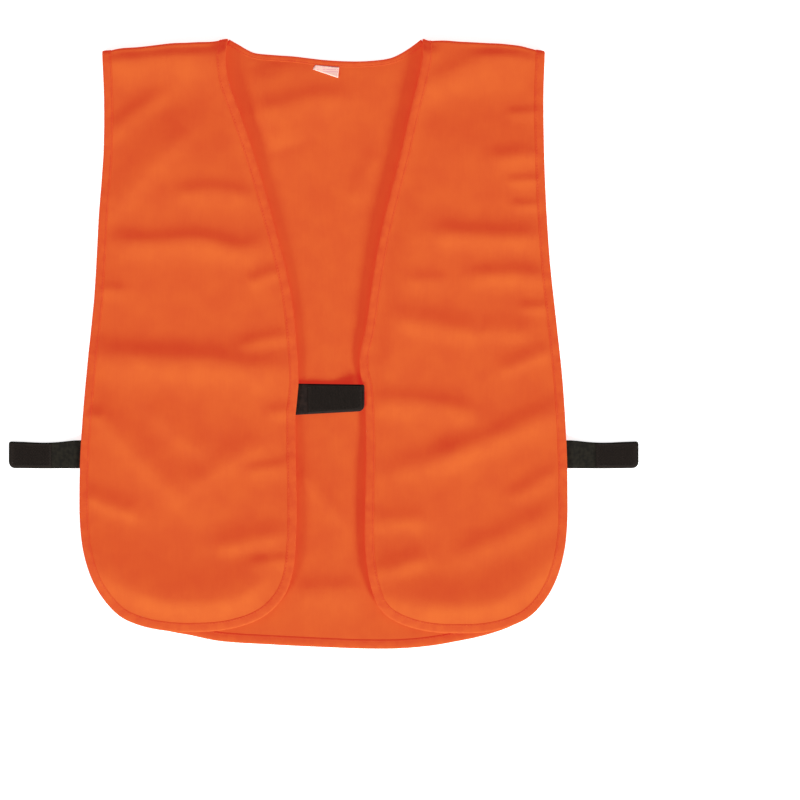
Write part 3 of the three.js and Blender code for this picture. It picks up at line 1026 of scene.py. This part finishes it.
def add_hook_face(name, strip, stations, inset, hooked, hook_inset, way, materials, sign=1):
    """Hook tape over the stations, its hooks over the hooked span, and the stitches along way (mm)."""
    black = materials["black_thread"]
    hook = materials["hook"]
    tape_face = strip.mesh(f"{name}_hook_tape", stations, HOOK_TAPE, HOOK_LIFT, hook, sign,
                           inset * MM, stations[-1])
    stand_for(tape_face, "black_hook_tape", f"{name}_hook")
    first, last = hooked
    hooks = strip.hooks(f"{name}_hooks", first * MM, last * MM, HOOK_LIFT + 0.2 * MM, hook, sign,
                        hook_inset * MM)
    sewn = strip.stitches(f"{name}_hook_stitching", way, HOOK_LIFT + 0.22 * MM, black, sign)
    under = strip.stitches(f"{name}_under_stitching", way, -WEBBING / 2, black, sign, True)
    return [tape_face, hooks, sewn, under]


STRAP_START = 205 * MM
SPLIT_X = 256 * MM
TIP_X = 270.5 * MM
STRAP_HOOK_START = 273 * MM
STRAP_CORNER = 309 * MM
STRAP_HOOK_END = 313.8 * MM
STRAP_END = 315.5 * MM


def strap_strip(back):
    footprint = np.array([(x, y) for x in (205, 215, 226) for y in (-124, -111, -98)]) * MM
    resting = float(back.height(footprint).max()) / MM + 1.15
    floor = 1.0
    heights = [
        (203, resting), (214, resting), (225, resting), (230, 3.25), (236, 3.42), (246, 3.42), (250, 3.1),
        (256, 1.9), (262, 1.12), (268, floor), (280, floor + 0.1), (298, floor), (317, floor),
    ]

    def low_edge(x):
        wave = 0.5 * MM * np.sin((x - 236 * MM) / (26 * MM))
        return STRAP_Y - 13.5 * MM - wave + end_round(x, STRAP_END, 6 * MM)

    def high_edge(x):
        dip = 1.3 * MM * np.exp(-((x - 280 * MM) / (22 * MM)) ** 2)
        lift = 1.2 * MM * np.exp(-((x - 246 * MM) / (14 * MM)) ** 2)
        return STRAP_Y + 13.3 * MM - dip + lift - end_round(x, STRAP_END, 2.2 * MM)

    return Strip(heights, low_edge, high_edge)


def add_side_strap(side, back, materials):
    """A side strap: its sewn root, elastic, tip, hook tape and stitches."""
    sign = SIDES[side]
    strip = strap_strip(back)
    bend = (246 * MM, 255 * MM)
    elastic_look = materials["elastic"]
    stations = along_x(STRAP_START, SPLIT_X, STATION, bend)
    base = strip.mesh(f"{side}_strap_root", stations, WEBBING, 0, elastic_look, sign)
    stand_for(base, "black_webbing", f"{side}_strap_anchor")
    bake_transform(base)
    stations = along_x(SPLIT_X, TIP_X, 1.0 * MM)
    elastic_piece = strip.mesh(f"{side}_strap_stretch_panel", stations, WEBBING, 0, elastic_look, sign)
    stand_for(elastic_piece, "black_elastic", f"{side}_strap_elastic")
    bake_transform(elastic_piece)
    stations = with_corner(along_x(TIP_X, STRAP_CORNER, STATION), STRAP_CORNER, STRAP_END)
    tip = strip.mesh(f"{side}_strap_tip_webbing", stations, WEBBING, 0, elastic_look, sign)
    stand_for(tip, "black_webbing", f"{side}_strap_tip")
    stations = with_corner(along_x(STRAP_HOOK_START, STRAP_CORNER, STATION), STRAP_CORNER, STRAP_HOOK_END)
    way = [(274.4, -121.8), (309.5, -121.8), (312.2, -118), (312.2, -101.5), (310.5, -100.6),
           (274.4, -100.6), (274.4, -121.8)]
    face = add_hook_face(f"{side}_strap", strip, stations, 1.0, (276, 310), 3.4, way, materials, sign)
    for piece in (tip, *face):
        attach(piece, f"{side}_strap_end")
    box = [(207, -122), (225, -122), (225, -100), (207, -100), (207, -122), (225, -100), (207, -100),
           (225, -122)]
    black = materials["black_thread"]
    box_top = strip.stitches(f"{side}_strap_box_stitching", box, WEBBING / 2, black, sign)
    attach(box_top, "back")
    row = evenly(np.array(box) * MM * (sign, 1), 1.0 * MM)
    add_under_row(f"{side}_strap_outside_stitching", back, row, -CLOTH / 2, materials["thread"], "back")


def add_front_tab(front, materials):
    """The tab sewn under the right front's edge, lying across the opening."""
    under = [-58, -53, -48, -43]
    resting = front.height(np.array([(x * MM, TAB_Y) for x in under])) / MM - 1.2
    heights = [*zip(under, resting), (-38, 4.1), (-33, 3.75), (-27, 3.75), (-22, 3.8), (-16, 4.3), (0, 6.0),
               (16, 7.6), (28, 8.9), (34, 9.45), (42, 9.5)]
    tip = 41 * MM
    corner = 34 * MM
    hook_end = 38.8 * MM

    def low_edge(x):
        return -71.2 * MM + (x + 27 * MM) * 0.056 + end_round(x, tip, 6 * MM)

    def high_edge(x):
        return -39.9 * MM - (x + 24 * MM) * 0.015 - end_round(x, tip, 1.8 * MM)

    def follow_cloth(x, y):
        flat = np.stack([x.ravel(), y.ravel()], 1)
        line = np.stack([x.ravel(), np.full(x.size, TAB_Y)], 1)
        rise = (front.height(flat) - front.height(line)).reshape(x.shape)
        return rise * smoothstep((-40 * MM - x) / (8 * MM))

    strip = Strip(heights, low_edge, high_edge, follow_cloth)
    straight = along_x(-58 * MM, corner, STATION, (-26 * MM, -16 * MM))
    stations = with_corner(straight, corner, tip)
    tab = strip.mesh("front_tab_strap", stations, WEBBING, 0, materials["webbing"])
    stand_for(tab, "black_webbing", "front_tab_webbing", "front_tab_anchor")
    stations = with_corner(along_x(-15.5 * MM, corner, STATION), corner, hook_end)
    way = [(-14.2, -68.2), (33.5, -64.6), (36.8, -60.5), (36.8, -44.2), (-14.2, -43.6), (-14.2, -68.2)]
    face = add_hook_face("front_tab", strip, stations, 1.2, (-12.5, 35.5), 3.6, way, materials)
    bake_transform(tab)
    for piece in face:
        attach(piece, "front_tab")


# piece, CAD node, front, its two ends along X (mm), and the Y of its middle
LOOP_PATCHES = [
    ("right_side_loop_tape", "right_side_loop_patch", "right", -231, -181, STRAP_Y),
    ("left_side_loop_tape", "left_side_loop_patch", "left", 181, 231, STRAP_Y),
    ("front_loop_tape", "front_loop_patch", "left", 53, 98, TAB_Y),
]


def add_loop_patch(name, node, front, x0, x1, centre_y, materials):
    """Soft loop tape sewn to the cloth's underside, with a napped face."""
    half = 13.2 * MM
    xs = np.linspace(x0 * MM, x1 * MM, 24)
    share, thick = np.array(SELVEDGE).T
    share = np.concatenate([share, share[::-1]])
    low_side = np.concatenate([np.zeros(len(thick)), np.ones(len(thick))])
    fade = np.concatenate([thick, thick[::-1]])
    grid_x = np.repeat(xs[:, None], len(share), 1)
    grid_y = centre_y - half + 2 * half * np.repeat(share[None], len(xs), 0)
    lift = -(CLOTH / 2 + 0.05 * MM) - (0.9 * MM * fade * low_side)[None].repeat(len(xs), 0)
    flat = np.stack([grid_x, grid_y], -1).reshape(-1, 2)
    points = front.place(flat, lift.ravel())
    faces = [f[::-1] for f in loft_faces(len(xs), len(share))]
    patch = add_mesh(name, points, faces, materials["loop"], flat)
    stand_for(patch, "black_loop_tape", node)
    body = f"{front.side}_front"
    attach(patch, body)
    low, high = x0 + 1.6, x1 - 1.6
    bottom, top = centre_y / MM - 11.7, centre_y / MM + 11.7
    way = evenly(np.array([(low, bottom), (high, bottom), (high, top), (low, top), (low, bottom)]) * MM,
                 1.0 * MM)
    face = -CLOTH / 2 - 0.98 * MM
    add_under_row(f"{name}_stitching", front, way, face, materials["black_thread"], body)


ROLL_SIDES = 12
ROLL_HALF_WIDTH = 1.5 * MM
ROLL_HALF_HEIGHT = 1.35 * MM
ROLL_END = 14 * MM


def add_shoulder_seam(front, back, materials):
    """The turned-in, bound seam allowance along a shoulder, and its topstitching on the back."""
    line = front.seam_line(60, ROLL_END, -0.2 * MM)
    at = np.linalg.norm(line - line[0], axis=1)
    wobble = 1 + 0.12 * noise_at(line, 0.012, 2.2)
    angle = np.linspace(0, 2 * math.pi, ROLL_SIDES, endpoint=False)
    across = np.cos(angle)[None] * ROLL_HALF_WIDTH * wobble[:, None]
    rise = np.sin(angle)[None] * ROLL_HALF_HEIGHT * wobble[:, None]
    points = np.concatenate([
        line[:, None] + across[..., None] * front.outward,
        (AXIS_LEVEL + rise)[..., None],
    ], -1)
    uv = np.stack(np.meshgrid(angle * ROLL_HALF_WIDTH, at), -1).reshape(-1, 2)
    faces = loft_faces(len(at), len(angle))
    roll = add_mesh(f"{front.side}_shoulder_seam_roll", points.reshape(-1, 3), faces, materials["tape"], uv)
    stand_for(roll, "binding_tape", f"{front.side}_shoulder_seam")
    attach(roll, "back")
    for name, inset in (("seam", 1.6), ("allowance", 7.0)):
        row = front.seam_line(120, 9 * MM, -inset * MM)
        stitching = f"{front.side}_shoulder_{name}_stitching"
        add_under_row(stitching, back, row, -CLOTH / 2, materials["thread"], "back")


# heights of the folded label's four faces, from the top down (mm)
LABEL_FACES = (2.55, 2.3, 2.2, 1.95)


def add_care_label(material):
    """A folded satin label caught in the neck seam, one corner lifting."""
    quad = np.array([(-11, 274.9), (14.6, 266.2), (15.6, 277.2), (-8.4, 279.2)]) * MM
    columns, rows = 16, 10
    u, v = np.meshgrid(np.linspace(0, 1, columns), np.linspace(0, 1, rows))
    u, v = u.ravel()[:, None], v.ravel()[:, None]
    flat = (1 - v) * ((1 - u) * quad[0] + u * quad[1]) + v * ((1 - u) * quad[3] + u * quad[2])
    lift = 1.3 * (u[:, 0] * (1 - v[:, 0])) ** 1.5 + 0.12 * np.sin(u[:, 0] * 5)
    layers = []
    for height in LABEL_FACES:
        share = (height - LABEL_FACES[-1]) / (LABEL_FACES[0] - LABEL_FACES[-1])
        z = (height + lift * (0.55 + 0.45 * share)) * MM
        layers.append(np.column_stack([flat, z]))
    points, faces = [], []
    count = columns * rows
    ring = [*range(columns), *range(2 * columns - 1, count, columns),
            *range(count - 2, count - columns - 1, -1), *range(count - 2 * columns, 0, -columns)]
    for upper, lower in (layers[:2], layers[2:]):
        base = len(points)
        points += [*upper, *lower]
        for r in range(rows - 1):
            for c in range(columns - 1):
                a = r * columns + c
                quad_face = (a, a + 1, a + columns + 1, a + columns)
                faces.append(tuple(base + i for i in quad_face))
                faces.append(tuple(base + count + i for i in quad_face[::-1]))
        for a, b in zip(ring, ring[1:] + ring[:1]):
            faces.append((base + b, base + a, base + count + a, base + count + b))
    uv = np.array(points)[:, :2]
    label = add_mesh("care_label_satin", np.array(points), faces, material, uv)
    stand_for(label, "label_satin", "care_label")
    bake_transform(label)


materials = {
    "tricot": tricot(),
    "tape": tape(),
    "thread": thread(),
    "webbing": webbing(),
    "elastic": elastic(),
    "hook": hook_tape(),
    "loop": loop_tape(),
    "black_thread": black_thread(),
    "satin": satin(),
}

add_camera()
add_studio()
fronts = {"right": Front("right", RIGHT_FRONT_FOLDS), "left": Front("left", LEFT_FRONT_FOLDS)}
back = add_back(fronts["right"], fronts["left"], materials)
for side in SIDES:
    add_front(fronts[side], materials)
    add_shoulder_seam(fronts[side], back, materials)
    add_side_strap(side, back, materials)
add_front_tab(fronts["right"], materials)
for name, node, side, x0, x1, centre_y in LOOP_PATCHES:
    add_loop_patch(name, node, fronts[side], x0, x1, centre_y, materials)
add_care_label(materials["satin"])
